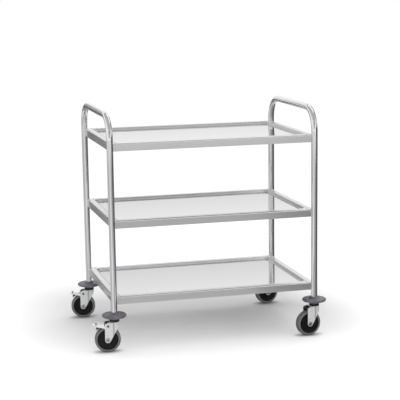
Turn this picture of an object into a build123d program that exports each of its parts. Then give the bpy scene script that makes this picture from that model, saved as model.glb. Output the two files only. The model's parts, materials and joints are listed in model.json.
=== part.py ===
from build123d import *
import os
from math import cos, radians, sin, sqrt, tan

# Food service trolley: two bent tube end frames carry three pressed stainless
# shelves. Each tube foot stands in a bumper disc on a swivel castor, and the
# two castors of the left end have brake pedals.
# Frame: +X along the shelves, +Y to the rear, +Z up, millimetres. The origin is
# on the floor, at the centre of the footprint.

# ---- End frames: one tube each, bent into an upturned U ----
post_span_x = 810.0        # between post axes, along the shelves
post_span_y = 545.0        # between post axes, across the shelves
tube_d = 25.0
tube_wall = 1.5
handle_axis_z = 903.0      # axis of the push handle
handle_bend_r = 90.0       # bend radius at the tube's axis
tube_foot_z = 134.0        # lower end of every post

# ---- Shelves: pressed trays with a flat rim, a skirt and a hem ----
shelf_names = ("bottom", "middle", "top")
lowest_skirt_z = 183.0     # lower edge of the bottom shelf's skirt
shelf_pitch = 294.5
shelf_height = 30.0
sheet = 1.2
rim_width = 27.0           # from the skirt's face to the top of the well's wall
well_depth = 9.0
well_wall_run = 6.5        # how far the well's wall leans inwards
well_corner_r = 22.0
rim_edge_r = 4.5           # rounding between rim and skirt
well_lip_r = 2.0           # rounding between rim and well wall
well_floor_r = 3.5         # rounding between well wall and floor
hem_width = 12.0           # turned-in lower edge of the skirt
notch_gap = 0.3            # between a post and the notch in a shelf corner

# Top-hat stiffener welded under each well
hat_length = 640.0
hat_crown_width = 44.0
hat_foot_width = 84.0
hat_depth = 13.0
hat_lean = 8.0             # how far each hat wall leans

# Shelf screws: M6 from inside each shelf corner into a rivet nut in the post
screw_height = 14.0        # above the skirt's lower edge
screw_d = 6.0
screw_head_af = 10.0
screw_head_h = 4.0
screw_length = 12.0
screw_clearance = 0.3      # between the screw and its hole in the sheet
rivet_nut_d = 9.0
rivet_nut_length = 9.0
thread_gap = 0.1           # radial gap that stands for a thread's flanks

# ---- Tube plugs and bumper discs ----
plug_length = 25.0
plug_gap = 0.1
plug_chamfer = 0.75
bumper_d = 95.0
bumper_rim_r = 6.0         # round edge of the disc
bumper_rim_z = 142.0       # middle of the round edge
bumper_dish = 1.0          # hollow of the disc's upper face
bumper_seat_z = 128.0      # underside of the bumper's boss
bumper_boss_d = 43.0
bumper_boss_taper = 1.5    # how much smaller the boss's lower edge is, in radius
bumper_collar_z = 154.0
bumper_collar_wall = 4.0
bumper_cone = 6.0          # spread of the collar's cone, down to the disc
bumper_bore_gap = 0.3

# ---- Castors ----
# Heading of each castor: the direction that its wheel trails away from.
headings = {"front_left": -8.0, "rear_left": -10.0, "front_right": 7.0, "rear_right": 7.0}
braked = ("front_left", "rear_left")
tyre_d = 100.0
tyre_width = 28.0
tyre_edge_r = 7.0
tyre_depth = 10.5          # from the tread to the wheel centre
trail = 27.0               # axle behind the swivel axis
stem_d = 12.0
stem_top_z = 157.0
stem_chamfer = 1.0
race_d = 34.0              # flange of the stem, the upper race
race_h = 5.5
fork_top_z = 119.0
fork_sheet = 2.5
fork_half_width = 22.0     # outside of the fork's legs
fork_rear_drop = 6.0       # how much lower the hood's rear edge is
hood_flat = 21.0           # flat part of the hood, behind the swivel axis
leg_end_r = 11.0           # round lower end of each leg
leg_rake = 30.0            # lean of the legs' front edges
hood_edge_r = 3.0
king_head_d = 22.0
king_head_h = 4.5
king_bore_gap = 0.4
swivel_gap = 0.3           # play above and below the fork's head
ball_ring_d = 30.0
dust_ring_d = 39.0
dust_ring_wall = 2.0
dust_ring_gap = 0.8        # below the bumper
fork_nose_r = 20.0         # outside of the fork ahead of the step in its legs
step_rear = 7.0            # the step's ends, behind the swivel axis
step_front = 1.0
hood_opening_front = 20.5  # ends of the opening in the hood, behind the swivel axis
hood_opening_rear = 33.0
hood_opening_width = 31.0
hood_opening_r = 4.0

# Wheel bearing and axle
sleeve_d = 12.0
axle_d = 8.0
axle_fit = 0.1             # radial running gap of the wheel on its sleeve
axle_bolt_gap = 0.2
hub_d = 28.0
hub_side_gap = 0.6         # between the hub and the fork's legs
wheel_rim_inset = 1.0      # wheel rim inside the tyre's side
wheel_rim_wall = 5.0
wheel_web_inset = 3.0      # wheel face inside the rim's face
axle_head_d = 14.0
axle_head_h = 4.5
axle_socket_af = 6.0
axle_socket_depth = 2.8
axle_nut_af = 13.0
axle_nut_h = 7.0
axle_tip = 2.0             # bolt end beyond its nut

# Brake: a pressed pedal on a pin through the fork, with a rubber shoe
pin_u = -25.5              # pin's place ahead of the swivel axis (negative: behind)
pin_z = 104.5
pin_d = 5.0
pin_head_d = 8.5
pin_head_h = 1.6
pin_fit = 0.1
pedal_sheet = 1.8
pedal_side_gap = 1.1       # between the pedal and the fork's legs
pedal_boss_r = 6.0
pedal_plate_start = 41.0   # behind the swivel axis
pedal_reach = 84.0
pedal_plate_z = 113.0      # top of the plate at its start
pedal_plate_drop = 6.0     # fall of the plate up to its tip
pedal_tip_h = 4.5
pedal_flange_depth = 15.0  # deepest, just behind the fork
pedal_flange_rear = 6.0    # depth of the flanges where they turn up to the tip
pedal_chin = 71.5          # that turn, behind the swivel axis
pedal_arm_depth = 12.0     # from the pin down to the arm's lower edge
pedal_corner_r = 16.0
grip_hole_length = 9.0
grip_hole_h = 5.0
grip_hole_spacing = 20.0
grip_hole_inset = 13.5     # from the pedal's tip
press_angle = 10.0         # pedal travel from released to braking
shoe_start = 46.0          # behind the swivel axis
shoe_length = 24.0
shoe_side_gap = 3.0        # between the shoe and the pedal's flanges
shoe_contact_gap = 0.3     # left between shoe and tyre when the brake is on

# ---- Values that follow from the driving dimensions ----
tube_r = tube_d / 2
tyre_r = tyre_d / 2
bumper_r = bumper_d / 2
pedal_overhang = max(pedal_reach * cos(radians(headings[name])) for name in braked)
centre_x = (pedal_overhang - bumper_r) / 2
floor_top = shelf_height - well_depth
corner_signs = {"front_left": (-1, -1), "rear_left": (-1, 1),
                "front_right": (1, -1), "rear_right": (1, 1)}
fork_inner_half = fork_half_width - fork_sheet
leg_rear = trail + leg_end_r
axle_uz = (-trail, tyre_r)
pedal_half_width = fork_inner_half - pedal_side_gap
screw_seat_r = tube_r + notch_gap + sheet
rivet_nut_end = sqrt(tube_r**2 - (rivet_nut_d / 2)**2)   # its rim flush with the tube
plug_d = tube_d - 2 * tube_wall - 2 * plug_gap


def post_xy(corner):
    """Axis of the post at one corner."""
    sign_x, sign_y = corner_signs[corner]
    return centre_x + sign_x * post_span_x / 2, sign_y * post_span_y / 2


def skirt_z(index):
    """Lower edge of a shelf's skirt, counted from the bottom shelf."""
    return lowest_skirt_z + index * shelf_pitch


def save(piece, node):
    piece.part.label = node
    export_step(piece.part, f"parts/{node}.step")


# ---- Planes of the corner fixings and of the castors ----
def screw_plane(corner, index):
    """Plane on the post's axis whose normal points at the shelf's middle."""
    sign_x, sign_y = corner_signs[corner]
    x, y = post_xy(corner)
    return Plane(origin=(x, y, skirt_z(index) + screw_height), z_dir=(-sign_x, -sign_y, 0))


def ahead(corner):
    """Unit vector from the castor's wheel to its swivel axis."""
    angle = radians(headings[corner])
    return Vector(cos(angle), sin(angle), 0)


def sideways(corner):
    """Unit vector along the castor's axle, to the rear of the trolley."""
    angle = radians(headings[corner])
    return Vector(-sin(angle), cos(angle), 0)


def plan_plane(corner, z):
    """Seen from above: x ahead, y sideways, at height z on the swivel axis."""
    x, y = post_xy(corner)
    return Plane(origin=(x, y, z), x_dir=ahead(corner), z_dir=(0, 0, 1))


def side_plane(corner):
    """Seen from the side: x ahead, y up, from the floor under the swivel axis."""
    x, y = post_xy(corner)
    return Plane(origin=(x, y, 0), x_dir=ahead(corner), z_dir=-sideways(corner))


def axle_plane(corner):
    """Section through the axle: x sideways, y up from the axle's middle."""
    x, y = post_xy(corner)
    middle = Vector(x, y, tyre_r) - ahead(corner) * trail
    return Plane(origin=middle, x_dir=sideways(corner), z_dir=ahead(corner))


def turned_plane(corner):
    """Half section of what is turned about the swivel axis: x radius, y up."""
    x, y = post_xy(corner)
    return Plane(origin=(x, y, 0), x_dir=(1, 0, 0), z_dir=(0, -1, 0))


def swivel_axis(corner):
    x, y = post_xy(corner)
    return Axis((x, y, 0), (0, 0, 1))


def axle_axis(corner):
    plane = axle_plane(corner)
    return Axis(plane.origin, plane.x_dir)


# ---- End frames ----
def make_end_frame(node, corners):
    x, _ = post_xy(corners[0])
    half = post_span_y / 2
    upright = Plane(origin=(x, 0, 0), x_dir=(0, 1, 0), z_dir=(1, 0, 0))
    with BuildPart() as frame:
        with BuildLine(upright) as bend:
            FilletPolyline((-half, tube_foot_z), (-half, handle_axis_z), (half, handle_axis_z),
                           (half, tube_foot_z), radius=handle_bend_r)
        with BuildSketch(Plane(origin=(x, -half, tube_foot_z))):
            Circle(tube_r)
            Circle(tube_r - tube_wall, mode=Mode.SUBTRACT)
        sweep(path=bend.wire())
        for corner in corners:
            for index in range(len(shelf_names)):
                with BuildSketch(screw_plane(corner, index)):
                    Circle(rivet_nut_d / 2 + thread_gap)
                extrude(amount=tube_r + tube_wall, mode=Mode.SUBTRACT)
    save(frame, node)


# ---- Shelves ----
def shelf_outline(inset):
    """The shelf in plan, with a notch round each post, moved inwards by inset."""
    Rectangle(post_span_x - 2 * inset, post_span_y - 2 * inset)
    with GridLocations(post_span_x, post_span_y, 2, 2):
        Circle(tube_r + notch_gap + inset, mode=Mode.SUBTRACT)


def shelf_block(z, inset, height):
    """The solid that the skirt encloses, with its rounded upper edges."""
    with BuildPart() as block:
        with BuildSketch(Plane(origin=(centre_x, 0, z))):
            shelf_outline(inset)
        extrude(amount=height)
        straight = block.faces().sort_by(Axis.Z)[-1].edges().filter_by(GeomType.LINE)
        fillet(straight, rim_edge_r - inset)
    return block.part


def make_shelf(node, index):
    z = skirt_z(index)
    top_z = z + shelf_height
    lean = Vector(well_wall_run, well_depth).get_angle(Vector(0, 1))
    wall_offset = sheet / cos(radians(lean))
    well_x = post_span_x - 2 * rim_width
    well_y = post_span_y - 2 * rim_width
    downwards = Plane(origin=(centre_x, 0, top_z), z_dir=(0, 0, -1))
    cavity = shelf_block(z, sheet, shelf_height - sheet)
    with BuildPart() as shelf:
        add(shelf_block(z, 0, shelf_height))
        add(cavity, mode=Mode.SUBTRACT)
        with BuildSketch(Plane(origin=(centre_x, 0, z))):
            shelf_outline(0)
            with BuildSketch(mode=Mode.PRIVATE) as opening:
                shelf_outline(hem_width)
            add(opening.sketch, mode=Mode.SUBTRACT)
        extrude(amount=sheet)
        with BuildSketch(downwards):
            RectangleRounded(well_x + 2 * wall_offset, well_y + 2 * wall_offset,
                             well_corner_r + wall_offset)
        extrude(amount=well_depth + sheet, taper=lean)
        with BuildSketch(downwards):
            RectangleRounded(well_x, well_y, well_corner_r)
        extrude(amount=well_depth, taper=lean, mode=Mode.SUBTRACT)
        floor = shelf.faces().filter_by(Axis.Z).filter_by_position(
            Axis.Z, z + floor_top - sheet / 4, z + floor_top + sheet / 4)
        fillet(floor.edges(), well_floor_r)
        rim = shelf.faces().filter_by(Axis.Z).sort_by(Axis.Z)[-1]
        fillet(rim.inner_wires()[0].edges(), well_lip_r)
        for corner in corner_signs:
            with BuildSketch(screw_plane(corner, index)):
                Circle(screw_d / 2 + screw_clearance)
            extrude(amount=screw_seat_r + sheet, mode=Mode.SUBTRACT)
    save(shelf, node)


def make_stiffener(node, index):
    under_floor = skirt_z(index) + floor_top - sheet
    crown = hat_crown_width / 2
    knee = crown + hat_lean
    end = Plane(origin=(centre_x, 0, under_floor), x_dir=(0, 1, 0), z_dir=(1, 0, 0))
    with BuildPart() as stiffener:
        with BuildSketch(end):
            Polygon((-knee, 0), (knee, 0), (crown, -hat_depth), (-crown, -hat_depth), align=None)
            with Locations((0, -sheet / 2)):
                Rectangle(hat_foot_width, sheet)
            Polygon((-knee + sheet, 0), (knee - sheet, 0), (crown - sheet, -hat_depth + sheet),
                    (-crown + sheet, -hat_depth + sheet), align=None, mode=Mode.SUBTRACT)
        extrude(amount=hat_length / 2, both=True)
    save(stiffener, node)


# ---- Fixings at the shelf corners ----
def make_shelf_screws():
    with BuildPart() as screws:
        for corner in corner_signs:
            for index in range(len(shelf_names)):
                plane = screw_plane(corner, index)
                with BuildSketch(plane.offset(screw_seat_r)):
                    RegularPolygon(screw_head_af / 2, 6, major_radius=False)
                extrude(amount=screw_head_h)
                with BuildSketch(plane.offset(screw_seat_r - screw_length)):
                    Circle(screw_d / 2)
                extrude(amount=screw_length)
    save(screws, "shelf_screws")


def make_rivet_nuts():
    with BuildPart() as nuts:
        for corner in corner_signs:
            for index in range(len(shelf_names)):
                with BuildSketch(screw_plane(corner, index).offset(rivet_nut_end)):
                    Circle(rivet_nut_d / 2)
                    Circle(screw_d / 2 + thread_gap, mode=Mode.SUBTRACT)
                extrude(amount=-rivet_nut_length)
    save(nuts, "rivet_nuts")


# ---- Post feet ----
def make_tube_plug(corner):
    x, y = post_xy(corner)
    with BuildPart() as plug:
        with BuildSketch(Plane(origin=(x, y, tube_foot_z))):
            Circle(plug_d / 2)
            Circle(stem_d / 2 + thread_gap, mode=Mode.SUBTRACT)
        extrude(amount=plug_length)
        chamfer(plug.edges().sort_by(Axis.Z)[-1], plug_chamfer)
    save(plug, f"{corner}_tube_plug")


def make_bumper(corner):
    """A soft disc with a round edge, a dished top, a collar and a lower boss."""
    edge_r = bumper_r - bumper_rim_r
    bore_r = tube_r + bumper_bore_gap
    collar_r = bore_r + bumper_collar_wall
    boss_r = bumper_boss_d / 2
    disc_top = bumper_rim_z + bumper_rim_r
    disc_bottom = bumper_rim_z - bumper_rim_r
    with BuildPart() as bumper:
        with BuildSketch(turned_plane(corner)):
            with BuildLine():
                lower = Polyline((stem_d / 2 + bumper_bore_gap, bumper_seat_z),
                                 (boss_r - bumper_boss_taper, bumper_seat_z),
                                 (boss_r, disc_bottom), (edge_r, disc_bottom))
                edge = ThreePointArc(lower @ 1, (bumper_r, bumper_rim_z), (edge_r, disc_top))
                dish = SagittaArc(edge @ 1, (collar_r + bumper_cone, disc_top), bumper_dish)
                Polyline(dish @ 1, (collar_r, bumper_collar_z), (bore_r, bumper_collar_z),
                         (bore_r, tube_foot_z), (stem_d / 2 + bumper_bore_gap, tube_foot_z),
                         lower @ 0)
            make_face()
        revolve(axis=swivel_axis(corner))
    save(bumper, f"{corner}_bumper")


# ---- Swivel head ----
def make_stem(corner):
    """Threaded stem, upper race and king pin, turned in one piece."""
    race_bottom = bumper_seat_z - race_h
    head_top = fork_top_z - fork_sheet - swivel_gap
    with BuildPart() as stem:
        with BuildSketch(plan_plane(corner, head_top - king_head_h)):
            Circle(king_head_d / 2)
        extrude(amount=king_head_h)
        with BuildSketch(plan_plane(corner, head_top)):
            Circle(stem_d / 2)
        extrude(amount=stem_top_z - head_top)
        with BuildSketch(plan_plane(corner, race_bottom)):
            Circle(race_d / 2)
        extrude(amount=race_h)
        chamfer(stem.edges().sort_by(Axis.Z)[-1], stem_chamfer)
    save(stem, f"{corner}_stem")


def make_ball_ring(corner):
    race_bottom = bumper_seat_z - race_h
    height = race_bottom - fork_top_z - swivel_gap
    with BuildPart() as ring:
        with BuildSketch(plan_plane(corner, fork_top_z)):
            Circle(ball_ring_d / 2)
            Circle(stem_d / 2 + king_bore_gap, mode=Mode.SUBTRACT)
        extrude(amount=height)
    save(ring, f"{corner}_ball_ring")


def make_dust_ring(corner):
    with BuildPart() as ring:
        with BuildSketch(plan_plane(corner, fork_top_z)):
            Circle(dust_ring_d / 2)
            Circle(dust_ring_d / 2 - dust_ring_wall, mode=Mode.SUBTRACT)
        extrude(amount=bumper_seat_z - dust_ring_gap - fork_top_z)
    save(ring, f"{corner}_dust_ring")


# ---- Forks ----
def fork_plan(inset, rear):
    """Straight and open towards the rear, stepped in and round at the front."""
    wide = fork_half_width - inset
    nose = fork_nose_r - inset
    Circle(nose)
    Polygon((-rear, wide), (-step_rear, wide), (-step_front, nose), (0, nose), (0, -nose),
            (-step_front, -nose), (-step_rear, -wide), (-rear, -wide), align=None)


def hood_line(drop, rear, front):
    """Top of the fork in side view: flat round the swivel axis, falling behind it."""
    slope = fork_rear_drop / (leg_rear - hood_flat)
    return ((-rear, fork_top_z - drop - slope * (rear - hood_flat)),
            (-hood_flat, fork_top_z - drop), (front, fork_top_z - drop))


def fork_block(corner, inset, rear, side_points):
    """A fork-shaped solid: plan shape and side shape cut from one another."""
    reach = fork_half_width + fork_sheet
    with BuildPart() as block:
        with BuildSketch(plan_plane(corner, 0)):
            fork_plan(inset, rear)
        extrude(amount=fork_top_z)
        with BuildSketch(side_plane(corner)) as side:
            Polygon(*side_points, align=None)
            bend = side.vertices().sort_by_distance((*side_points[1], 0))[0]
            fillet(bend, hood_flat)
        extrude(amount=reach, both=True, mode=Mode.INTERSECT)
    return block


def make_fork(corner):
    rake = radians(leg_rake)
    reach = fork_half_width + fork_sheet
    toe = (axle_uz[0] + leg_end_r * cos(rake), axle_uz[1] - leg_end_r * sin(rake))
    knee_z = toe[1] + (fork_half_width - toe[0]) / tan(rake)
    outer = hood_line(0, leg_rear, reach)
    inner = hood_line(fork_sheet, leg_rear + fork_sheet, reach)
    leg = [*outer, (reach, knee_z), (fork_half_width, knee_z), toe, axle_uz,
           (-leg_rear, axle_uz[1])]
    space = [*inner, (reach, 0), (-leg_rear - fork_sheet, 0)]
    shell = fork_block(corner, 0, leg_rear, leg)
    hollow = fork_block(corner, fork_sheet, leg_rear + fork_sheet, space).part
    opening_middle = (hood_opening_front + hood_opening_rear) / 2
    with BuildPart() as fork:
        add(shell.part)
        with BuildSketch(side_plane(corner)):
            with Locations(axle_uz):
                Circle(leg_end_r)
        extrude(amount=fork_half_width, both=True)
        hood = fork.edges().filter_by(lambda e: e.center().Z > fork_top_z - fork_rear_drop)
        rear_edge = hood.sort_by(Axis(side_plane(corner).origin, ahead(corner)))[0]
        fillet([e for e in hood if e != rear_edge and e.length > fork_rear_drop
                and abs(e.center().Z - rear_edge.center().Z) > 0], hood_edge_r)
        add(hollow, mode=Mode.SUBTRACT)
        with BuildSketch(plan_plane(corner, fork_top_z)):
            Circle(stem_d / 2 + king_bore_gap)
        extrude(amount=-2 * fork_sheet, mode=Mode.SUBTRACT)
        with BuildSketch(side_plane(corner)):
            with Locations(axle_uz):
                Circle(axle_d / 2 + axle_bolt_gap)
            if corner in braked:
                with Locations((pin_u, pin_z)):
                    Circle(pin_d / 2 + pin_fit)
        extrude(amount=reach, both=True, mode=Mode.SUBTRACT)
        with BuildSketch(plan_plane(corner, fork_top_z)):
            with Locations((-opening_middle, 0)):
                RectangleRounded(hood_opening_rear - hood_opening_front, hood_opening_width,
                                 hood_opening_r)
        extrude(amount=-fork_rear_drop - 2 * fork_sheet, mode=Mode.SUBTRACT)
    save(fork, f"{corner}_fork")


# ---- Wheels ----
def make_tyre(corner):
    with BuildPart() as tyre:
        with BuildSketch(axle_plane(corner)) as section:
            with Locations((0, tyre_r - tyre_depth / 2)):
                Rectangle(tyre_width, tyre_depth)
            fillet(section.vertices().sort_by(Axis.Y)[-2:], tyre_edge_r)
        revolve(axis=axle_axis(corner))
    save(tyre, f"{corner}_tyre")


def make_wheel_centre(corner):
    """Rim, dished web and hub, moulded in one piece."""
    rim_r = tyre_r - tyre_depth
    rim_width_v = tyre_width - 2 * wheel_rim_inset
    hub_length = 2 * (fork_inner_half - hub_side_gap)
    bore_r = sleeve_d / 2 + axle_fit
    with BuildPart() as wheel:
        with BuildSketch(axle_plane(corner)):
            with Locations((0, rim_r / 2)):
                Rectangle(rim_width_v - 2 * wheel_web_inset, rim_r)
            with Locations((0, rim_r - wheel_rim_wall / 2)):
                Rectangle(rim_width_v, wheel_rim_wall)
            with Locations((0, hub_d / 4)):
                Rectangle(hub_length, hub_d / 2)
            with Locations((0, bore_r / 2)):
                Rectangle(hub_length, bore_r, mode=Mode.SUBTRACT)
        revolve(axis=axle_axis(corner))
    save(wheel, f"{corner}_wheel_centre")


def make_axle_sleeve(corner):
    plane = Plane(origin=axle_plane(corner).origin, z_dir=sideways(corner))
    with BuildPart() as sleeve:
        with BuildSketch(plane):
            Circle(sleeve_d / 2)
            Circle(axle_d / 2 + axle_bolt_gap, mode=Mode.SUBTRACT)
        extrude(amount=fork_inner_half, both=True)
    save(sleeve, f"{corner}_axle_sleeve")


def make_axle_bolt(corner):
    """Socket-head bolt, entered from the front of the trolley."""
    seat = Plane(origin=axle_plane(corner).origin, z_dir=-sideways(corner)).offset(fork_half_width)
    shank_length = 2 * fork_half_width + axle_nut_h + axle_tip
    with BuildPart() as bolt:
        with BuildSketch(seat):
            Circle(axle_head_d / 2)
        extrude(amount=axle_head_h)
        fillet(bolt.faces().sort_by(Axis(seat.origin, seat.z_dir))[-1].edges(), axle_head_h / 2)
        with BuildSketch(seat.offset(axle_head_h)):
            RegularPolygon(axle_socket_af / 2, 6, major_radius=False)
        extrude(amount=-axle_socket_depth, mode=Mode.SUBTRACT)
        with BuildSketch(seat):
            Circle(axle_d / 2)
        extrude(amount=-shank_length)
    save(bolt, f"{corner}_axle_bolt")


def make_axle_nut(corner):
    seat = Plane(origin=axle_plane(corner).origin, z_dir=sideways(corner)).offset(fork_half_width)
    with BuildPart() as nut:
        with BuildSketch(seat):
            RegularPolygon(axle_nut_af / 2, 6, major_radius=False)
            Circle(axle_d / 2 + thread_gap, mode=Mode.SUBTRACT)
        extrude(amount=axle_nut_h)
    save(nut, f"{corner}_axle_nut")


# ---- Brakes ----
def pedal_top(behind):
    """Height of the pedal plate's top, by its distance behind the swivel axis."""
    share = (behind - pedal_plate_start) / (pedal_reach - pedal_plate_start)
    return pedal_plate_z - pedal_plate_drop * share


def make_pedal(corner):
    """A pressed channel: plate behind the fork, two arms inside it."""
    tip_z = pedal_top(pedal_reach)
    belly = pedal_plate_start + pedal_boss_r
    side_points = [(-pedal_plate_start, pedal_top(pedal_plate_start)), (-pedal_reach, tip_z),
                   (-pedal_reach, tip_z - pedal_tip_h),
                   (-pedal_chin, pedal_top(pedal_chin) - pedal_flange_rear),
                   (-belly, pedal_top(belly) - pedal_flange_depth),
                   (pin_u - pedal_boss_r, pin_z - pedal_arm_depth), (pin_u, pin_z - pedal_boss_r),
                   (pin_u, pin_z + pedal_boss_r), (-pedal_plate_start, pin_z)]
    under = [(-pedal_plate_start, pedal_top(pedal_plate_start) - pedal_sheet),
             (-pedal_reach, tip_z - pedal_sheet), (-pedal_reach, 0), (0, 0),
             (0, pedal_plate_z), (-pedal_plate_start, pedal_plate_z)]
    with BuildPart() as pedal:
        with BuildSketch(side_plane(corner)):
            Polygon(*side_points, align=None)
            with Locations((pin_u, pin_z)):
                Circle(pedal_boss_r)
        extrude(amount=pedal_half_width, both=True)
        with BuildSketch(plan_plane(corner, 0)):
            with Locations((-pedal_reach / 2, 0)):
                RectangleRounded(pedal_reach, 2 * pedal_half_width, pedal_corner_r)
        extrude(amount=pedal_plate_z, mode=Mode.INTERSECT)
        with BuildSketch(side_plane(corner)):
            Polygon(*under, align=None)
        extrude(amount=pedal_half_width - pedal_sheet, both=True, mode=Mode.SUBTRACT)
        with BuildSketch(side_plane(corner)):
            with Locations((pin_u, pin_z)):
                Circle(pin_d / 2 + pin_fit)
        extrude(amount=pedal_half_width, both=True, mode=Mode.SUBTRACT)
        with BuildSketch(plan_plane(corner, pedal_plate_z)):
            with Locations((grip_hole_inset - pedal_reach, 0)):
                with GridLocations(1, grip_hole_spacing, 1, 2):
                    SlotOverall(grip_hole_length, grip_hole_h, rotation=90)
        extrude(amount=-pedal_plate_drop - 2 * pedal_sheet, mode=Mode.SUBTRACT)
    save(pedal, f"{corner}_brake_pedal")


def make_brake_shoe(corner):
    """Its working face fits the tyre when the pedal is fully pressed."""
    pin = Vector(pin_u, pin_z)
    working_centre = pin + (Vector(*axle_uz) - pin).rotate(Axis.Z, -press_angle)
    front, rear = shoe_start, shoe_start + shoe_length
    with BuildPart() as shoe:
        with BuildSketch(side_plane(corner)):
            Polygon((-front, pedal_top(front) - pedal_sheet), (-rear, pedal_top(rear) - pedal_sheet),
                    (-rear, tyre_r), (-front, tyre_r), align=None)
            with Locations((working_centre.X, working_centre.Y)):
                Circle(tyre_r + shoe_contact_gap, mode=Mode.SUBTRACT)
        extrude(amount=pedal_half_width - pedal_sheet - shoe_side_gap, both=True)
    save(shoe, f"{corner}_brake_shoe")


def make_brake_pin(corner):
    middle = side_plane(corner).from_local_coords(Vector(pin_u, pin_z, 0))
    with BuildPart() as pin:
        with BuildSketch(Plane(origin=middle, z_dir=sideways(corner))):
            Circle(pin_d / 2)
        extrude(amount=fork_half_width, both=True)
        for direction in (sideways(corner), -sideways(corner)):
            with BuildSketch(Plane(origin=middle, z_dir=direction).offset(fork_half_width)):
                Circle(pin_head_d / 2)
            extrude(amount=pin_head_h)
    save(pin, f"{corner}_brake_pin")


os.makedirs("parts", exist_ok=True)
make_end_frame("left_end_frame", ("front_left", "rear_left"))
make_end_frame("right_end_frame", ("front_right", "rear_right"))
for shelf_index, shelf_name in enumerate(shelf_names):
    make_shelf(f"{shelf_name}_shelf", shelf_index)
    make_stiffener(f"{shelf_name}_stiffener", shelf_index)
make_shelf_screws()
make_rivet_nuts()
for castor in corner_signs:
    make_tube_plug(castor)
    make_bumper(castor)
    make_stem(castor)
    make_ball_ring(castor)
    make_dust_ring(castor)
    make_fork(castor)
    make_tyre(castor)
    make_wheel_centre(castor)
    make_axle_sleeve(castor)
    make_axle_bolt(castor)
    make_axle_nut(castor)
for castor in braked:
    make_pedal(castor)
    make_brake_shoe(castor)
    make_brake_pin(castor)
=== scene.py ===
import json
from math import atan2, cos, radians, sin

import bmesh
import bpy
from mathutils import Matrix, Vector


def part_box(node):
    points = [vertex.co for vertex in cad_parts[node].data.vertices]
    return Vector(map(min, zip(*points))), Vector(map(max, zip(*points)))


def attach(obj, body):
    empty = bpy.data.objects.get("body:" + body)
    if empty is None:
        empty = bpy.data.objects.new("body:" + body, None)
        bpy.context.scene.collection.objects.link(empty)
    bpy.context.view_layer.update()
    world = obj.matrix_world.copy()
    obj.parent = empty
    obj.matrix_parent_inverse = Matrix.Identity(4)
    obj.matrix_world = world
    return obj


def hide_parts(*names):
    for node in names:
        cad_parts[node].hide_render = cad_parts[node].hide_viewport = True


# Food service trolley: two bent tube ends, three pressed trays and four swivel
# castors. Metres, +X along the shelves, +Y to the rear, +Z up.

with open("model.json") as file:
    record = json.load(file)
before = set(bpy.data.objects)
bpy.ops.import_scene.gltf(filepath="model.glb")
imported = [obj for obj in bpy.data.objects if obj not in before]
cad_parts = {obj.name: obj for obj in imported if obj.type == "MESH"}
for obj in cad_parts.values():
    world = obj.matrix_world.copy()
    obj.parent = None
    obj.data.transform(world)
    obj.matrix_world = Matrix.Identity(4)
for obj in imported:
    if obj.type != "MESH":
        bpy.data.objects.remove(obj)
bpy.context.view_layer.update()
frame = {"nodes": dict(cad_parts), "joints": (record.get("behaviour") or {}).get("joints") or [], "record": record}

CORNERS = ("front_left", "rear_left", "front_right", "rear_right")
BRAKED_CORNERS = ("front_left", "rear_left")
JOINTS = {joint["name"]: joint for joint in frame["joints"]}
BODY_OF = {node: body for body, nodes in frame["record"]["behaviour"]["bodies"].items()
           for node in nodes}
SLOT_OF = {entry["node"]: entry["material_slot"] for entry in frame["record"]["subparts"]}


def heading(corner):
    """Which way a castor points, as an angle from +X: its wheel trails behind."""
    axle = JOINTS[corner + "_roll"]["axis"]
    return atan2(-axle[0], axle[1])


def axle_middle(corner):
    return Vector(JOINTS[corner + "_roll"]["pos_m"])


# ---- Shader maths ----
class Signal:
    """A socket that can stand in a sum: each operation adds its Math node."""

    def __init__(self, finish, socket):
        self.finish, self.socket = finish, socket

    def __add__(self, other):
        return self.finish.maths("ADD", self, other)

    def __sub__(self, other):
        return self.finish.maths("SUBTRACT", self, other)

    def __rsub__(self, other):
        return self.finish.maths("SUBTRACT", other, self)

    def __mul__(self, other):
        return self.finish.maths("MULTIPLY", self, other)

    def __abs__(self):
        return self.finish.maths("ABSOLUTE", self)

    __radd__ = __add__
    __rmul__ = __mul__

    def clamped(self):
        return self.finish.maths("ADD", self, 0.0, use_clamp=True)

    def above(self, edge, softness):
        """0 below the edge, 1 above it, with a soft step between."""
        return ((self - edge) * (1 / softness) + 0.5).clamped()

    def below(self, edge, softness):
        return 1.0 - self.above(edge, softness)

    def near(self, middle, reach, softness):
        """1 within reach of the middle, 0 away from it."""
        return abs(self - middle).below(reach, softness)


def length_of(first, second):
    return first.finish.maths("SQRT", first * first + second * second)


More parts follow.
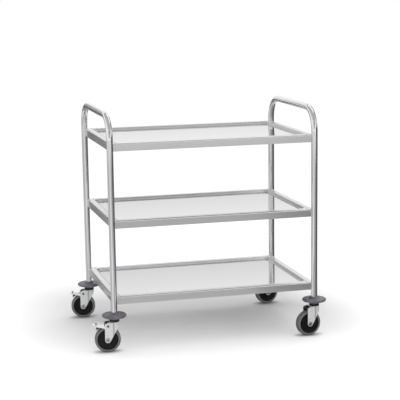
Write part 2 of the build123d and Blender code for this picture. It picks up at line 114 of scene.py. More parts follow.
class Finish:
    """One material or world: its nodes, and the shader that they feed."""

    def __init__(self, owner, shader):
        owner.use_nodes = True
        self.owner, self.tree = owner, owner.node_tree
        self.shader = self.tree.nodes[shader]

    def feed(self, node, values):
        """Links each signal to its socket, and sets the other sockets' values."""
        for key, value in values.items():
            if isinstance(value, Signal):
                self.tree.links.new(value.socket, node.inputs[key])
            else:
                node.inputs[key].default_value = value

    def node(self, kind, values=None, output=0, **settings):
        """A new node: its settings first, then what goes into its sockets."""
        made = self.tree.nodes.new(kind)
        for name, setting in settings.items():
            setattr(made, name, setting)
        self.feed(made, values or {})
        return Signal(self, made.outputs[output])

    def maths(self, operation, *values, **settings):
        return self.node("ShaderNodeMath", dict(enumerate(values)),
                         operation=operation, **settings)

    def parts(self, vector, letters="XYZ"):
        """The named parts of a vector."""
        return [self.node("ShaderNodeSeparateXYZ", {0: vector}, output=letter)
                for letter in letters]

    def coordinates(self, output="Object"):
        return self.node("ShaderNodeTexCoord", output=output)

    def place(self, stretch=(1, 1, 1)):
        """Object coordinates, stretched."""
        return self.node("ShaderNodeMapping", {
            "Vector": self.coordinates(), "Scale": stretch})

    def axis(self, letter):
        return self.parts(self.place(), letter)[0]

    def noise(self, scale, detail, stretch=(1, 1, 1)):
        """Noise from 0 to 1, with scale features to a metre."""
        return self.node("ShaderNodeTexNoise", {
            "Vector": self.place(stretch), "Scale": scale, "Detail": detail})

    def grain(self, direction, scale, detail, along, across):
        """Noise drawn out along one axis, as grinding leaves it."""
        stretch = [along if letter == direction else across for letter in "XYZ"]
        return self.noise(scale, detail, stretch)

    def castor_axes(self, corner):
        """Ahead of, beside and above the middle of a castor's axle, in metres."""
        level = self.node("ShaderNodeMapping", {
            "Vector": self.coordinates(), "Location": axle_middle(corner),
            "Rotation": (0, 0, heading(corner))}, vector_type="TEXTURE")
        return self.parts(level)

    def from_axle(self, corner):
        """Distance from a castor's axle, in metres."""
        ahead, _, above = self.castor_axes(corner)
        return length_of(ahead, above)

    def between(self, mask, low, high):
        """A colour between two others."""
        low, high = (end if isinstance(end, Signal) else (*end, 1.0) for end in (low, high))
        return self.node("ShaderNodeMix", {0: mask, 6: low, 7: high}, output=2,
                         data_type="RGBA")

    def bump(self, height, distance, strength=1.0):
        return self.node("ShaderNodeBump", {
            "Height": height, "Distance": distance, "Strength": strength})


def material(name):
    return Finish(bpy.data.materials.new(name), "Principled BSDF")


def grey(level):
    return (level, level, level)


# ---- Palette ----
# Linear red, green and blue. A pair is the two ends that a finish varies between.
TUBE_STEEL = (0.76, 0.76, 0.765), (0.82, 0.82, 0.825)
SHEET_STEEL = (0.76, 0.76, 0.765), (0.81, 0.81, 0.815)
# Painted shade: the wells' floors are painted darker towards the rear.
WELL_SHADE_REAR_TO_FRONT = (0.52, 0.52, 0.53), (0.72, 0.72, 0.725)
# The fold's colour is a painted shade line at each end of the well.
RIM_AND_FOLD_SHADE = (0.76, 0.76, 0.765), (0.30, 0.30, 0.305)
# Painted light and shade: the lower trays' long walls are painted lighter, the end walls and the top tray darker.
LIT_LONG_WALL_STEEL, SHADED_WALL_STEEL = (0.96, 0.96, 0.965), (0.62, 0.62, 0.625)
ZINC = (0.89, 0.895, 0.905), (0.97, 0.975, 0.98)
# The crease zinc is painted shade along the crease in each fork leg.
CREASE_SHADE_ZINC, PEDAL_ZINC = (0.6, 0.6, 0.605), (0.95, 0.955, 0.96)
# Painted shade: round the axle, inside each fork and in the pedals' grip slots.
AXLE_RING_SHADE, FORK_INSIDE_SHADE, GRIP_SLOT_SHADE = grey(0.12), grey(0.05), grey(0.035)
BOLT_STEEL = (0.5, 0.5, 0.51), (0.66, 0.66, 0.67)
# Painted shade in the bolts' sockets.
SOCKET_SHADE = grey(0.03)
FLANK_RUBBER = (0.21, 0.21, 0.215), (0.29, 0.29, 0.295)
TREAD_RUBBER = (0.15, 0.15, 0.155), (0.21, 0.21, 0.215)
# Painted shade in the groove where each tyre meets its wheel.
GROOVE_SHADE_RUBBER = grey(0.03)
WHEEL_NYLON = (0.003, 0.003, 0.0035), (0.022, 0.022, 0.024)
# Painted shade round each wheel centre's edge, where the tyre meets it.
WHEEL_EDGE_SHADE = grey(0.001)

# ---- Borders of the finishes ----
# A step is an edge and a softness. A band is a middle, a reach and a softness.
shelf_low, shelf_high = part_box("top_shelf")
RIM_WIDTH = 0.027
SHELF_MIDDLE = (shelf_low.x + shelf_high.x) / 2
WELL_HALF_X = (shelf_high.x - shelf_low.x) / 2 - RIM_WIDTH
WELL_HALF_Y = (shelf_high.y - shelf_low.y) / 2 - RIM_WIDTH

# Across the well's edge, and across the fold just outside its two ends, where a painted shade line runs.
WELL_STEP = 0.0, 0.002
FOLD_SHADE_BAND = WELL_HALF_X + 0.001, 0.0018, 0.001

# Heights above the floor.
HANDLE_STEP = 0.86, 0.05
TOP_SHELF_SHADE_STEP = 0.7, 0.1

# Which way a face looks, along X or up: 1 is straight that way, 0 is square to it.
END_FACE_STEP, END_WALL_SHADE_STEP = (0.8, 0.2), (0.5, 0.3)
WELL_FLOOR_STEP, RIM_STEP, UNDERSIDE_STEP = (0.85, 0.2), (0.9, 0.1), (-0.9, 0.1)

# Distances from the middle of a castor's axle.
FORK_LEG_STEP, FORK_CEILING_STEP = (0.0200, 0.0006), (0.0662, 0.0006)
FORK_MOUTH_STEP, FORK_CREASE_SHADE_BAND = (0.015, 0.004), (0.0230, 0.0032, 0.0026)
AXLE_RING_SHADE_BAND = 0.0074, 0.0006, 0.0006
SOCKET_STEP = 0.0030, 0.0006
GRIP_LENGTH_BAND = -0.0435, 0.0042, 0.0016
GRIP_INNER_STEP, GRIP_OUTER_STEP = (0.0035, 0.0016), (0.0165, 0.0016)
TYRE_GROOVE_SHADE_STEP, TREAD_STEP = (0.0405, 0.0012), (0.0468, 0.004)
WHEEL_EDGE_SHADE_STEP = 0.0370, 0.0010

# ---- Textures ----
# Noise is a scale, as features to a metre, and a detail. Depths are metres.
TUBE_GRAIN = {"scale": 70.0, "detail": 4.0, "along": 0.25, "across": 14.0}
TUBE_SMEARS, TUBE_GRAIN_DEPTH = (11.0, 4.0), 0.000004
SHEET_GRAIN = {"scale": 60.0, "detail": 5.0, "along": 0.2, "across": 20.0}
SHEET_SMEARS, SHEET_GRAIN_DEPTH, SHEET_GRAIN_STRENGTH = (5.0, 4.0), 0.00003, 0.6
ZINC_CRYSTALS, ZINC_CLOUDS = (260.0, 3.0), (40.0, 3.0)
ZINC_DEPTH, PEDAL_DEPTH = 0.00002, 0.00001
BOLT_SCUFFS = 300.0, 3.0
MOULD_PORES, MOULD_PORE_DEPTH = (700.0, 3.0), 0.00004
MOULD_DUST, MOULD_DUST_STEP = (30.0, 5.0), (0.5, 0.45)
TYRE_PORES, TYRE_PORE_DEPTH, TYRE_DUST = (600.0, 3.0), 0.00005, (60.0, 5.0)
WHEEL_SPECKLE, WHEEL_SPECKLE_STEP = (420.0, 4.0), (0.55, 0.2)
WHEEL_RINGS, WHEEL_RING_SHARE, WHEEL_DEPTH = 2200.0, 0.5, 0.00012


# ---- Finishes ----
# Each roughness is the bare surface's, with what grain, smears, dust or painted shade add to it.
def polished_tube():
    """Stainless tube, ground along its length and then polished."""
    steel = material("polished_tube")
    along_post = steel.grain("Z", **TUBE_GRAIN)
    along_handle = steel.grain("Y", **TUBE_GRAIN)
    at_handle = steel.axis("Z").above(*HANDLE_STEP)
    grain = along_post + (along_handle - along_post) * at_handle
    smears = steel.noise(*TUBE_SMEARS)
    steel.feed(steel.shader, {
        "Base Color": steel.between(smears, *TUBE_STEEL),
        "Metallic": 1.0,
        "Roughness": 0.07 + 0.04 * smears + 0.05 * grain,
        "Normal": steel.bump(grain, TUBE_GRAIN_DEPTH)})
    return steel.owner


def tray_sheet():
    """Stainless sheet: polished in the wells, with a fine grain along rims and skirts."""
    steel = material("tray_sheet")
    across, up = steel.parts(steel.coordinates("Normal"), "XZ")
    depth, along = steel.axis("Y"), steel.axis("X") - SHELF_MIDDLE
    inside = ((WELL_HALF_Y - abs(depth)).above(*WELL_STEP)
              * (WELL_HALF_X - abs(along)).above(*WELL_STEP))
    polished = inside * up.above(*WELL_FLOOR_STEP)
    satin = (1.0 - inside) * up.above(*RIM_STEP)
    pressed = inside * up.below(*WELL_FLOOR_STEP)
    under = up.below(*UNDERSIDE_STEP)

    grain, end_grain = (steel.grain(direction, **SHEET_GRAIN) for direction in "XY")
    lines = grain + (end_grain - grain) * abs(across).above(*END_FACE_STEP)
    smears = steel.noise(*SHEET_SMEARS)

    sheet = steel.between(smears, *SHEET_STEEL)
    # Painted shade: each well's floor is painted darker towards its rear.
    forward = (WELL_HALF_Y - depth) * (0.5 / WELL_HALF_Y)
    shaded_well_floor = steel.between(forward, *WELL_SHADE_REAR_TO_FRONT)
    # A painted shade line along the fold just outside each end of the well.
    rim = steel.between(abs(along).near(*FOLD_SHADE_BAND), *RIM_AND_FOLD_SHADE)
    upper_faces = steel.between(satin, steel.between(polished, sheet, shaded_well_floor), rim)
    # Painted light and shade on walls and undersides: lighter on the lower trays' long faces, darker on end faces
    # and on the whole top tray.
    lower_wall_shading = steel.between(abs(across).above(*END_WALL_SHADE_STEP), LIT_LONG_WALL_STEEL, SHADED_WALL_STEEL)
    wall_shading = steel.between(steel.axis("Z").above(*TOP_SHELF_SHADE_STEP), lower_wall_shading, SHADED_WALL_STEEL)
    steel.feed(steel.shader, {
        "Base Color": steel.between((pressed + under).clamped(), upper_faces, wall_shading),
        "Metallic": 1.0,
        "Roughness": 0.13 + 0.04 * smears + 0.10 * lines - 0.11 * polished + 0.12 * satin
                     + 0.4 * pressed + 0.4 * under,
        "Normal": steel.bump(lines, SHEET_GRAIN_DEPTH, SHEET_GRAIN_STRENGTH)})
    return steel.owner


def bright_zinc(name, corner=None):
    """Zinc plate. A fork's has painted shade along a crease down each leg, inside the fork and in a ring round the
    axle.
    """
    zinc = material(name)
    crystals = zinc.noise(*ZINC_CRYSTALS)
    colour = zinc.between(zinc.noise(*ZINC_CLOUDS), *ZINC)
    inside_shade = 0.0
    if corner:
        ahead, beside, above = zinc.castor_axes(corner)
        # Painted shade inside the fork, between its legs and under its top.
        inside_shade = (abs(beside).below(*FORK_LEG_STEP) * above.below(*FORK_CEILING_STEP)
                * ahead.below(*FORK_MOUTH_STEP))
        # Painted shade in a ring round the axle bolt.
        axle_ring_shade = zinc.from_axle(corner).near(*AXLE_RING_SHADE_BAND)
        # Painted shade along the crease down each leg.
        colour = zinc.between(ahead.near(*FORK_CREASE_SHADE_BAND), colour, CREASE_SHADE_ZINC)
        colour = zinc.between(axle_ring_shade, colour, AXLE_RING_SHADE)
        colour = zinc.between(inside_shade, colour, FORK_INSIDE_SHADE)
    zinc.feed(zinc.shader, {
        "Base Color": colour,
        "Metallic": 0.25 - 0.15 * inside_shade,
        "Roughness": 0.24 + 0.1 * crystals + 0.3 * inside_shade,
        "Normal": zinc.bump(crystals, ZINC_DEPTH)})
    return zinc.owner


def pedal_zinc(corner):
    """Brighter zinc, with painted shade in and between the grip's slots."""
    zinc = material(corner + "_pedal_zinc")
    crystals = zinc.noise(*ZINC_CRYSTALS)
    ahead, beside, _ = zinc.castor_axes(corner)
    off_middle = abs(beside)
    # Painted shade in and between the grip's slots.
    grip = ahead.near(*GRIP_LENGTH_BAND) * (
        off_middle.above(*GRIP_INNER_STEP) * off_middle.below(*GRIP_OUTER_STEP))
    zinc.feed(zinc.shader, {
        "Base Color": zinc.between(grip, PEDAL_ZINC, GRIP_SLOT_SHADE),
        "Metallic": 0.95 - 0.8 * grip,
        "Roughness": 0.14 + 0.08 * crystals + 0.4 * grip,
        "Normal": zinc.bump(crystals, PEDAL_DEPTH)})
    return zinc.owner


def bolt_steel(corner):
    """Bright bolt whose socket is painted dark as shade."""
    steel = material(corner + "_bolt_steel")
    scuffs = steel.noise(*BOLT_SCUFFS)
    # Painted shade in the bolt's socket.
    socket = steel.from_axle(corner).below(*SOCKET_STEP)
    steel.feed(steel.shader, {
        "Base Color": steel.between(socket, steel.between(scuffs, *BOLT_STEEL), SOCKET_SHADE),
        "Metallic": 1.0 - 0.8 * socket,
        "Roughness": 0.2 + 0.12 * scuffs + 0.3 * socket})
    return steel.owner


def moulded(name, dark, pale, roughness):
    """Moulded rubber or plastic: fine pores and a little rubbed-off dust."""
    skin = material(name)
    dust = skin.noise(*MOULD_DUST).above(*MOULD_DUST_STEP)
    skin.feed(skin.shader, {
        "Base Color": skin.between(dust, dark, pale),
        "Roughness": roughness + 0.12 * dust,
        "Normal": skin.bump(skin.noise(*MOULD_PORES), MOULD_PORE_DEPTH)})
    return skin.owner


def tyre_rubber(corner):
    """Grey rubber: a paler flank, and a tread that is dark with use."""
    rubber = material(corner + "_tyre_rubber")
    dust = rubber.noise(*TYRE_DUST)
    reach = rubber.from_axle(corner)
    flank, worn = (rubber.between(dust, *ends) for ends in (FLANK_RUBBER, TREAD_RUBBER))
    outer = rubber.between(reach.above(*TREAD_STEP), flank, worn)
    rubber.feed(rubber.shader, {
        # Painted shade in the groove where the tyre meets the wheel.
        "Base Color": rubber.between(reach.below(*TYRE_GROOVE_SHADE_STEP), outer, GROOVE_SHADE_RUBBER),
        "Roughness": 0.5 + 0.15 * dust,
        "Normal": rubber.bump(rubber.noise(*TYRE_PORES), TYRE_PORE_DEPTH)})
    return rubber.owner


def wheel_nylon(corner):
    """Black moulded wheel with faint turned rings, fine speckle and painted shade round its edge, where the tyre
    meets it.
    """
    nylon = material(corner + "_wheel_nylon")
    speckle = nylon.noise(*WHEEL_SPECKLE)
    reach = nylon.from_axle(corner)
    rings = nylon.maths("SINE", reach * WHEEL_RINGS)
    moulding = nylon.between(speckle.above(*WHEEL_SPECKLE_STEP), *WHEEL_NYLON)
    nylon.feed(nylon.shader, {
        # Painted shade round the edge, where the tyre meets the wheel.
        "Base Color": nylon.between(reach.above(*WHEEL_EDGE_SHADE_STEP), moulding, WHEEL_EDGE_SHADE),
        "Roughness": 0.5 + 0.2 * speckle,
        "Specular IOR Level": 0.3,
        "Normal": nylon.bump(rings * WHEEL_RING_SHARE + speckle, WHEEL_DEPTH)})
    return nylon.owner


FINISHES = {
    "stainless_tube": polished_tube(),
    "stainless_sheet": tray_sheet(),
    "fixings": bright_zinc("bright_fixing"),
    "zinc": bright_zinc("bright_zinc"),
    "dull_pin": moulded("dull_pin_steel", grey(0.05), grey(0.12), 0.4),
    "bumper": moulded("bumper_rubber", (0.085, 0.078, 0.098), (0.26, 0.25, 0.28), 0.36),
    "dust_seal": moulded("seal_plastic", (0.006, 0.006, 0.007), grey(0.015), 0.45),
    "shoe_rubber": moulded("shoe_rubber", grey(0.006), grey(0.015), 0.6),
    "nylon": moulded("black_nylon", grey(0.02), grey(0.04), 0.5),
}
NODE_FINISHES = {}
for corner in CORNERS:
    NODE_FINISHES[corner + "_tyre"] = tyre_rubber(corner)
    NODE_FINISHES[corner + "_wheel_centre"] = wheel_nylon(corner)
    NODE_FINISHES[corner + "_fork"] = bright_zinc(corner + "_fork_zinc", corner)
    NODE_FINISHES[corner + "_axle_bolt"] = bolt_steel(corner)
for corner in BRAKED_CORNERS:
    NODE_FINISHES[corner + "_brake_pin"] = FINISHES["dull_pin"]
    NODE_FINISHES[corner + "_brake_pedal"] = pedal_zinc(corner)


def finish_of(node):
    return NODE_FINISHES.get(node) or FINISHES[SLOT_OF[node]]


for node, cad_piece in frame["nodes"].items():
    for material_slot in cad_piece.material_slots:
        material_slot.material = finish_of(node)


# ---- Modelling ----
SMOOTH_BELOW = radians(35)
RING_TOLERANCE, MERGE_DISTANCE = 2e-5, 1e-6
TURNED_SIDES = 96


def choose(test):
    """Selects the edges whose ends both pass a test."""
    bpy.ops.mesh.select_mode(type="EDGE")
    bpy.ops.mesh.select_all(action="DESELECT")
    mesh = bpy.context.object.data
    edited = bmesh.from_edit_mesh(mesh)
    for edge in edited.edges:
        edge.select_set(all(test(vertex.co) for vertex in edge.verts))
    bmesh.update_edit_mesh(mesh)


def on_ring(radius, height):
    return lambda spot: (abs(spot.xy.length - radius) < RING_TOLERANCE
                         and abs(spot.z - height) < RING_TOLERANCE)


def start_circle(sides, radius, middle):
    """Leaves a level circle in edit mode, with every vertex selected."""
    bpy.ops.object.select_all(action="DESELECT")
    bpy.ops.mesh.primitive_circle_add(vertices=sides, radius=radius)
    bpy.ops.object.mode_set(mode="EDIT")
    bpy.ops.transform.translate(value=middle)


def extrude(*step):
    bpy.ops.mesh.extrude_region_move(TRANSFORM_OT_translate={"value": step})


def close_and_smooth(name):
    """Merges doubles, turns the faces outwards and leaves edit mode."""
    bpy.ops.mesh.select_all(action="SELECT")
    bpy.ops.mesh.remove_doubles(threshold=MERGE_DISTANCE)
    bpy.ops.mesh.normals_make_consistent(inside=False)
    bpy.ops.object.mode_set(mode="OBJECT")
    piece = bpy.context.object
    piece.name = name
    bpy.ops.object.shade_smooth_by_angle(angle=SMOOTH_BELOW)
    return piece


def turned(name, outline, rounded=()):
    """Turned about Z: a ring is extruded and scaled from point to point of the section.

    The outline's points are a radius and a height. Each edge to round is a radius, a
    height, the rounding and its number of segments.
    """
    start_circle(TURNED_SIDES, outline[0][0], (0, 0, outline[0][1]))
    for (radius, height), (next_radius, next_height) in zip(outline, outline[1:]):
        extrude(0, 0, next_height - height)
        bpy.ops.transform.resize(value=(next_radius / radius, next_radius / radius, 1),
                                 center_override=(0, 0, next_height))
    first, last = on_ring(*outline[0]), on_ring(*outline[-1])
    choose(lambda spot: first(spot) or last(spot))
    bpy.ops.mesh.bridge_edge_loops()
    for radius, height, rounding, segments in rounded:
        choose(on_ring(radius, height))
        bpy.ops.mesh.bevel(offset=rounding, segments=segments, affect="EDGES")
    return close_and_smooth(name)


def both_halves(half):
    """A whole section from the half on one side of the wheel's middle plane."""
    return half + tuple((radius, -along) for radius, along in reversed(half))


def dress(piece, node):
    piece.data.materials.clear()
    piece.data.materials.append(finish_of(node))
    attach(piece, BODY_OF[node])
    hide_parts(node)


def fit_out(pattern, ending, place):
    """Copies a pattern to each castor, as the piece that stands for its CAD node."""
    for corner in CORNERS:
        node = f"{corner}_{ending}"
        piece = pattern.copy()
        piece.data = pattern.data.copy()
        piece.name = node + "_piece"
        bpy.context.scene.collection.objects.link(piece)
        piece.data.transform(place(corner))
        dress(piece, node)
    bpy.data.objects.remove(pattern)


def on_swivel_axis(corner):
    x, y, _ = JOINTS[corner + "_swivel"]["pos_m"]
    return Matrix.Translation((x, y, 0))


def on_axle(corner):
    """Turns Z to the axle, with the pattern's top to the front of the trolley."""
    turn = Matrix.Rotation(heading(corner), 4, "Z") @ Matrix.Rotation(radians(90), 4, "X")
    return Matrix.Translation(axle_middle(corner)) @ turn


# ---- End frames ----
TUBE_WALL, TUBE_SIDES = 0.0015, 56
BEND_RADIUS, BEND_STEPS = 0.090, 24


def bend(x, y, z):
    """Carries the tube's open end a quarter turn to the rear, about a line along X."""
    bpy.ops.mesh.spin(steps=BEND_STEPS, angle=radians(90), axis=(1, 0, 0), center=(x, y, z))


def end_frame(node):
    """One tube, from the front foot up, over the handle and down to the rear foot."""
    low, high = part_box(node)
    radius, x = (high.x - low.x) / 2, (high.x + low.x) / 2
    front, rear = low.y + radius, high.y - radius
    bend_z = high.z - radius - BEND_RADIUS
    start_circle(TUBE_SIDES, radius, (x, front, low.z))
    extrude(0, 0, bend_z - low.z)
    bend(x, front + BEND_RADIUS, bend_z)
    extrude(0, rear - front - 2 * BEND_RADIUS, 0)
    bend(x, rear - BEND_RADIUS, bend_z)
    extrude(0, 0, low.z - bend_z)
    tube = close_and_smooth(node + "_tube")
    wall = tube.modifiers.new("wall", "SOLIDIFY")
    wall.thickness, wall.offset, wall.use_even_offset = TUBE_WALL, -1.0, True
    bpy.ops.object.modifier_apply(modifier="wall")
    bpy.ops.object.shade_smooth_by_angle(angle=SMOOTH_BELOW)
    dress(tube, node)


end_frame("left_end_frame")
end_frame("right_end_frame")

# ---- Bumper discs ----
# A soft disc with a round edge, a hollow top with a raised ring, a collar round
# the tube and a boss below. Heights are above the trolley's floor.
STEM_HOLE, TUBE_HOLE, TUBE_SEAT = 0.0063, 0.0128, 0.1340
BOSS_RADIUS, BOSS_FOOT, BOSS_ROOT = 0.0200, 0.1280, 0.0215
DISC_RADIUS, DISC_FOOT, DISC_TOP, DISC_ROUNDING = 0.0475, 0.1360, 0.1480, 0.00598
COLLAR_RADIUS, COLLAR_TOP = 0.0168, 0.1540
HOLLOW_TOP = ((0.0400, DISC_TOP), (0.0385, 0.1476), (0.0370, DISC_TOP), (0.0320, 0.1473),
              (0.0270, 0.1475), (0.0228, 0.1482), (0.0185, 0.1512))

bumper = turned("bumper", (
    (STEM_HOLE, BOSS_FOOT), (BOSS_RADIUS, BOSS_FOOT), (BOSS_ROOT, DISC_FOOT),
    (DISC_RADIUS, DISC_FOOT), (DISC_RADIUS, DISC_TOP), *HOLLOW_TOP,
    (COLLAR_RADIUS, COLLAR_TOP), (TUBE_HOLE, COLLAR_TOP), (TUBE_HOLE, TUBE_SEAT),
    (STEM_HOLE, TUBE_SEAT)), (
    (DISC_RADIUS, DISC_FOOT, DISC_ROUNDING, 7), (DISC_RADIUS, DISC_TOP, DISC_ROUNDING, 7),
    (BOSS_RADIUS, BOSS_FOOT, 0.0008, 3), (BOSS_ROOT, DISC_FOOT, 0.0015, 4),
    (COLLAR_RADIUS, COLLAR_TOP, 0.0012, 3), (TUBE_HOLE, COLLAR_TOP, 0.0008, 3)))
fit_out(bumper, "bumper", on_swivel_axis)

# ---- Tyres ----
# Round shoulders, a moulded line round each flank and a fine parting line on the tread.
TYRE_SEAT, TYRE_RADIUS, TYRE_FLANK = (0.0395, 0.0130), 0.0500, 0.0140
FLANK_LINE = ((0.0425, TYRE_FLANK), (0.0428, 0.0136), (0.0434, 0.0136), (0.0437, TYRE_FLANK))
PARTING_LINE = ((TYRE_RADIUS, 0.0004), (0.0497, 0.0001))
SHOULDER_ROUNDING = 0.0068

tyre = turned("tyre", both_halves((
    TYRE_SEAT, (0.0400, 0.0138), (0.0412, TYRE_FLANK), *FLANK_LINE,
    (TYRE_RADIUS, TYRE_FLANK), *PARTING_LINE)),
    [(TYRE_RADIUS, flank, SHOULDER_ROUNDING, 8) for flank in (TYRE_FLANK, -TYRE_FLANK)])
fit_out(tyre, "tyre", on_axle)

# ---- Wheel centres ----
# Rim, web with two moulded rings, and a hub with chamfered ends.
HUB_FACE, WEB_FACE, RING_FACE, RIM_FACE = 0.0189, 0.0100, 0.0106, 0.0130
HUB = ((0.0061, HUB_FACE), (0.0130, HUB_FACE), (0.0140, 0.0179), (0.0146, RING_FACE),
       (0.0160, WEB_FACE))
INNER_RING = ((0.0195, WEB_FACE), (0.0200, RING_FACE), (0.0212, RING_FACE), (0.0217, WEB_FACE))
OUTER_RING = ((0.0270, WEB_FACE), (0.0275, RING_FACE), (0.0287, RING_FACE), (0.0292, WEB_FACE))
RIM = ((0.0325, WEB_FACE), (0.0343, 0.0107), (0.0352, 0.0124), (0.0362, RIM_FACE),
       (0.0388, RIM_FACE), (0.0395, 0.0123))

wheel_centre = turned("wheel_centre", both_halves(HUB + INNER_RING + OUTER_RING + RIM))
fit_out(wheel_centre, "wheel_centre", on_axle)

# ---- Dust rings ----
# A band round the swivel bearing, with a shallow waist.
SEAL_INSIDE, SEAL_OUTSIDE, SEAL_WAIST = 0.0175, 0.0195, 0.0190
SEAL_FOOT, SEAL_TOP, SEAL_ROUNDING = 0.1190, 0.1272, 0.0005

dust_ring = turned("dust_ring", (
    (SEAL_INSIDE, SEAL_FOOT), (SEAL_OUTSIDE, SEAL_FOOT), (SEAL_OUTSIDE, 0.1225),
    (SEAL_WAIST, 0.1230), (SEAL_WAIST, 0.1242), (SEAL_OUTSIDE, 0.1247),
    (SEAL_OUTSIDE, SEAL_TOP), (SEAL_INSIDE, SEAL_TOP)),
    [(SEAL_OUTSIDE, edge, SEAL_ROUNDING, 3) for edge in (SEAL_FOOT, SEAL_TOP)])
fit_out(dust_ring, "dust_ring", on_swivel_axis)


# ---- Studio ----
MOTTLE, MOTTLE_SHADE = (0.6, 3.0), 0.97
LOWER_LAYER, UPPER_LAYER = 0.004, 0.006


def stand(name, corners, colour, seen=True):
    """A flat sheet of the studio: the floor, or one that only reflections see."""
    bpy.ops.mesh.primitive_plane_add(size=2.0)
    sheet = bpy.context.object
    sheet.name = name
    for vertex, corner in zip(sheet.data.vertices, corners):
        vertex.co = corner
    paint = material(name)
    paint.feed(paint.shader, {
        "Base Color": paint.between(
            paint.noise(*MOTTLE), grey(MOTTLE_SHADE * colour), grey(colour)),
        "Roughness": 0.9, "Specular IOR Level": 0.0})
    sheet.data.materials.append(paint.owner)
    sheet.visible_camera = sheet.visible_diffuse = sheet.visible_shadow = seen
    return paint


def level_corners(left, right, front, rear, height):
    return [(x, y, height) for y in (front, rear) for x in (left, right)]


def seen_by(paint, *kinds):
    """1 for the rays of these kinds, 0 for the rest."""
    rays = [paint.node("ShaderNodeLightPath", output="Is " + kind + " Ray") for kind in kinds]
    return sum(rays[1:], rays[0]).clamped()


# The floor's glow fades from a painted grey shadow pool round the trolley to white. A fade is the distance from
# the origin where it starts and how much it grows to a metre. The floor's colour and glow also hold a painted
# contact shadow under each wheel.
LEFT_FADE, RIGHT_FADE = (0.3263, 0.95), (0.5, 1.3)
FRONT_FADE, REAR_FADE = (-0.2239, 0.67), (0.4932, 0.73)
SHADOW_POOL_GLOW, MOST_GLOW, MIRRORED_GLOW = 0.03, 0.47, 0.22
FLOOR_REACH, FLOOR_TONE, WHEEL_SHADOW_TONE = 9.0, 0.8, 0.3
WHEEL_SHADOW_STEP, WHEEL_SHADOW_SQUASH = (0.04, 0.06), 1.8


def faded(distance, start, rate):
    return ((distance - start) * rate).clamped()


floor_corners = level_corners(-FLOOR_REACH, FLOOR_REACH, -FLOOR_REACH, FLOOR_REACH, 0.0)
floor = stand("floor", floor_corners, FLOOR_TONE)
floor_x, floor_y = floor.parts(floor.place(), "XY")
outside_wheel_shadows = 1.0
# Painted contact shadow under each wheel: darker floor colour and less glow.
for corner in CORNERS:
    foot = axle_middle(corner)
    outside_wheel_shadow = length_of(floor_x - foot.x, floor_y * WHEEL_SHADOW_SQUASH - foot.y * WHEEL_SHADOW_SQUASH)
    outside_wheel_shadows = outside_wheel_shadow.above(*WHEEL_SHADOW_STEP) * outside_wheel_shadows
aside = faded(0.0 - floor_x, *LEFT_FADE) + faded(floor_x, *RIGHT_FADE)
beyond = faded(0.0 - floor_y, *FRONT_FADE) + faded(floor_y, *REAR_FADE)
from_shadow_pool = length_of(aside, beyond)
sweep = floor.maths("MINIMUM", (SHADOW_POOL_GLOW + from_shadow_pool) * outside_wheel_shadows, MOST_GLOW)
glow = (MIRRORED_GLOW * seen_by(floor, "Glossy", "Transmission")
        + sweep * seen_by(floor, "Camera"))
floor.feed(floor.shader, {
    "Base Color": floor.between(outside_wheel_shadows, grey(WHEEL_SHADOW_TONE), grey(FLOOR_TONE)),
    "Emission Color": floor.between(glow, grey(0), grey(1)), "Emission Strength": 1.0})


def cloth(name, from_angle, to_angle, colour, near=0.62, far=7.0, height=LOWER_LAYER):
    """A cloth on the floor between two directions, 0 to the front and 90 to the right."""
    angles = [radians(from_angle), radians(to_angle)]
    stand(name, [(sin(angle) * reach, -cos(angle) * reach, height)
                 for reach in (near, far) for angle in angles], colour, seen=False)


def card(name, start, end, bottom, top, colour):
    """An upright card above a line on the floor."""
    corners = [(*spot, height) for height in (bottom, top) for spot in (start, end)]
    stand(name, corners, colour, seen=False)


# What the metal mirrors of the studio. Upright steel mirrors cloths on the floor, the
# wells mirror the ceiling and the cards, and the bends mirror the flags on the right.
cloth("left_cloth", -112, -58, 0.68)
cloth("front_cloth", -12, 22, 0.6)
cloth("near_front_cloth", -28, -12, 0.58, near=0.8, far=1.5)
cloth("middle_right_cloth", 15, 62, 0.12, near=0.25, far=0.75, height=UPPER_LAYER)
cloth("far_middle_right_cloth", 48, 62, 0.15, near=0.75)
cloth("front_right_cloth", 22, 48, 0.28, near=0.95)
cloth("right_cloth", 62, 150, 0.12, near=0.12, far=0.9)
cloth("far_right_cloth", 62, 130, 0.15, near=0.9)
cloth("rear_cloth", 150, 184, 0.45, near=0.9)
cloth("rear_middle_cloth", 184, 198, 0.18, near=0.9)
cloth("rear_left_cloth", 198, 225, 0.42, near=0.9)
cloth("near_rear_left_cloth", 222, 250, 0.25, near=0.45, far=1.0, height=UPPER_LAYER)
stand("ceiling", level_corners(left=-2.6, right=4.0, front=-3.0, rear=3.2, height=3.3), 0.85,
      seen=False)
card("right_flag", (5.0, -6.6), (5.0, 3.4), 0.0, 1.3, 0.15)
card("high_right_flag", (5.0, -6.6), (5.0, 3.4), 1.3, 1.9, 0.32)
card("rear_right_flag", (4.98, 0.44), (3.2, 3.83), 0.9, 3.6, 0.3)
card("dark_rear_card", (-0.47, 1.8), (-1.17, 1.8), 0.58, 0.93, 0.25)
card("rear_card", (-0.85, 2.5), (-3.0, 2.3), 0.0, 0.7, 0.45)
card("high_rear_card", (-0.35, 2.5), (-3.0, 2.3), 0.9, 1.5, 0.6)
card("front_card", (-3.0, -3.5), (0.3, -3.5), 1.2, 3.6, 0.6)
card("high_front_card", (0.3, -3.5), (2.4, -3.5), 2.2, 3.6, 0.6)

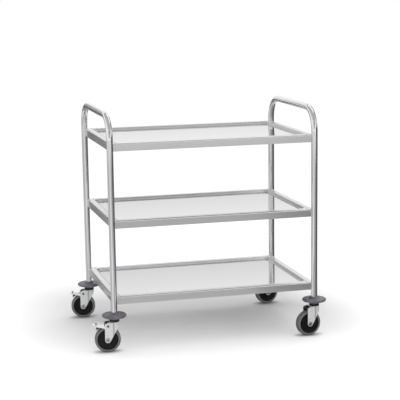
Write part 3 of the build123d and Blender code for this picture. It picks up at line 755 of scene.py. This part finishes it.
# ---- Light ----
SOFTBOX_SIDE, SOFTBOX_POWER = 3.0, 30.0
SOFTBOX_PLACE, SOFTBOX_TARGET = Vector((0.5, 0.4, 3.4)), Vector((0, 0, 0.3))
SKY_LIGHT, SKY_SEEN = 0.7, 1.0

softbox_light = bpy.data.lights.new("overhead_softbox", "AREA")
softbox_light.shape, softbox_light.energy = "RECTANGLE", SOFTBOX_POWER
softbox_light.size = softbox_light.size_y = SOFTBOX_SIDE
softbox = bpy.data.objects.new("overhead_softbox", softbox_light)
softbox.location = SOFTBOX_PLACE
softbox.rotation_euler = (SOFTBOX_TARGET - SOFTBOX_PLACE).to_track_quat("-Z", "Y").to_euler()
bpy.context.scene.collection.objects.link(softbox)

world = Finish(bpy.data.worlds.new("studio"), "Background")
bpy.context.scene.world = world.owner
seen = seen_by(world, "Camera", "Glossy", "Transmission")
world.feed(world.shader, {
    "Color": (1, 1, 1, 1), "Strength": SKY_LIGHT + (SKY_SEEN - SKY_LIGHT) * seen})

# ---- Camera ----
# Yaw from the front, pitch down and roll. The lens is in millimetres, and the shift only
# places the trolley in view.
VIEW_YAW, VIEW_PITCH, VIEW_ROLL = radians(-14.58), radians(10.49), radians(-0.83)
VIEW_DISTANCE, AIM = 5.293, Vector((0.0111, 0.0, 0.450))
LENS, SHIFT_X, SHIFT_Y = 117.36, 0.011, 0.044

out = Vector((sin(VIEW_YAW) * cos(VIEW_PITCH), -cos(VIEW_YAW) * cos(VIEW_PITCH),
              sin(VIEW_PITCH)))
level = Vector((cos(VIEW_YAW), sin(VIEW_YAW), 0.0))
upright = out.cross(level)
sideways = level * cos(VIEW_ROLL) + upright * sin(VIEW_ROLL)
camera_data = bpy.data.cameras.new("camera")
camera_data.lens, camera_data.shift_x, camera_data.shift_y = LENS, SHIFT_X, SHIFT_Y
camera = bpy.data.objects.new("camera", camera_data)
turn = Matrix((sideways, out.cross(sideways), out)).transposed()
camera.matrix_world = Matrix.LocRotScale(AIM + out * VIEW_DISTANCE, turn, None)
bpy.context.scene.collection.objects.link(camera)
bpy.context.scene.camera = camera
bpy.context.scene.view_settings.view_transform = "Standard"
